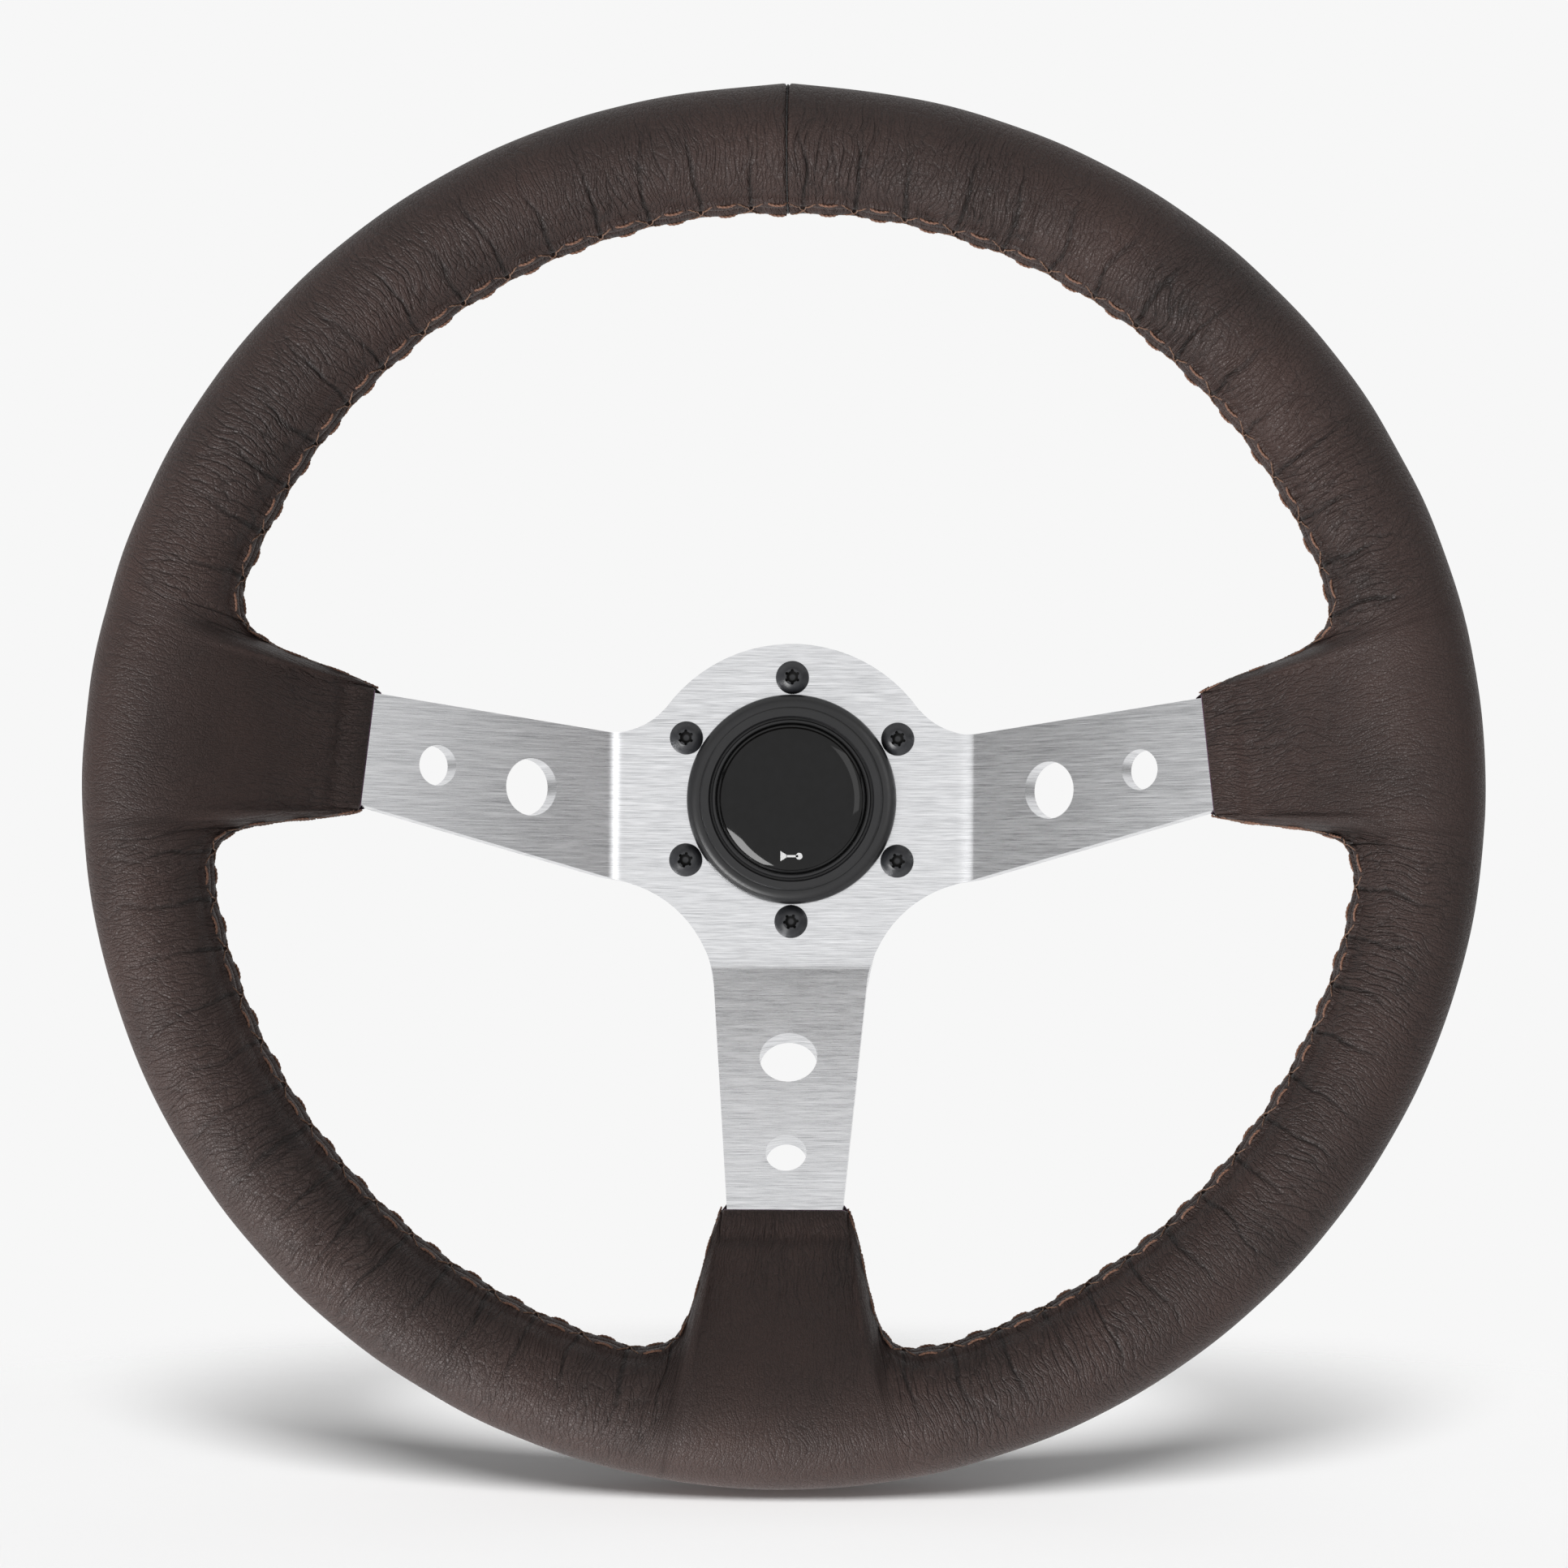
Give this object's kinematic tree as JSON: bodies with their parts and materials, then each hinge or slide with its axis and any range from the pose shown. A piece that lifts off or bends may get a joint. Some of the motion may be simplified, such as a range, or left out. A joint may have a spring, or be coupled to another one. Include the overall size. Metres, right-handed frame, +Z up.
{
  "type": "car steering wheel",
  "caption": "Deep-dished three-spoke steering wheel with a leather rim, cross-stitched inner edge, brushed bent-plate spokes and a pressed horn button in the hub.",
  "frame": {"origin": "centre of the bolt circle on the back face of the hub plate", "axes": "+Y along the wheel axis, away from the driver and towards the steering column; +Z up with the wheel straight ahead; +X to the driver's right"},
  "size_m": [0.35, 0.1175, 0.3504],
  "materials": {
    "brushed_plate": "brushed",
    "hoop_metal": "satin",
    "rivet_metal": "satin",
    "moulded_foam": "matte",
    "leather": "pebbled, semi-matte",
    "lacing_thread": "twisted waxed thread",
    "seam_thread": "twisted thread",
    "black_screw": "black oxide",
    "button_black": "satin moulded",
    "black_rubber": "matte",
    "emblem_black": "gloss",
    "emblem_dome": "high gloss",
    "contact_brass": "plain",
    "spring_steel": "drawn wire",
    "insulator_board": "pressed board"
  },
  "bodies": {
    "wheel": {"spoke_frame": "brushed_plate", "rim_hoop": "hoop_metal", "rim_rivets": "rivet_metal", "foam_grip": "moulded_foam", "leather_cover": "leather", "lacing_upper": "lacing_thread", "lacing_left": "lacing_thread", "lacing_right": "lacing_thread", "top_seam": "seam_thread", "hub_screws": "black_screw", "horn_housing": "button_black", "rubber_ring": "black_rubber", "trim_ring": "button_black", "return_spring": "spring_steel", "insulator": "insulator_board", "fixed_contact": "contact_brass", "ground_strap": "contact_brass", "snap_ring": "spring_steel", "signal_terminal": "contact_brass", "ground_terminal": "contact_brass", "terminal_rivets": "contact_brass"},
    "horn_button": {"horn_cap": "button_black", "emblem_disc": "emblem_black", "emblem_dome": "emblem_dome", "contact_plate": "contact_brass", "contact_screws": "contact_brass"}
  },
  "joints": [
    {"name": "horn_press", "type": "slide", "parent": "wheel", "child": "horn_button", "axis": [0, 1, 0], "range_m": [0, 0.0021], "stiffness_N_per_m": 2500, "springref_m": -0.0016, "deforming": ["return_spring"]}
  ]
}
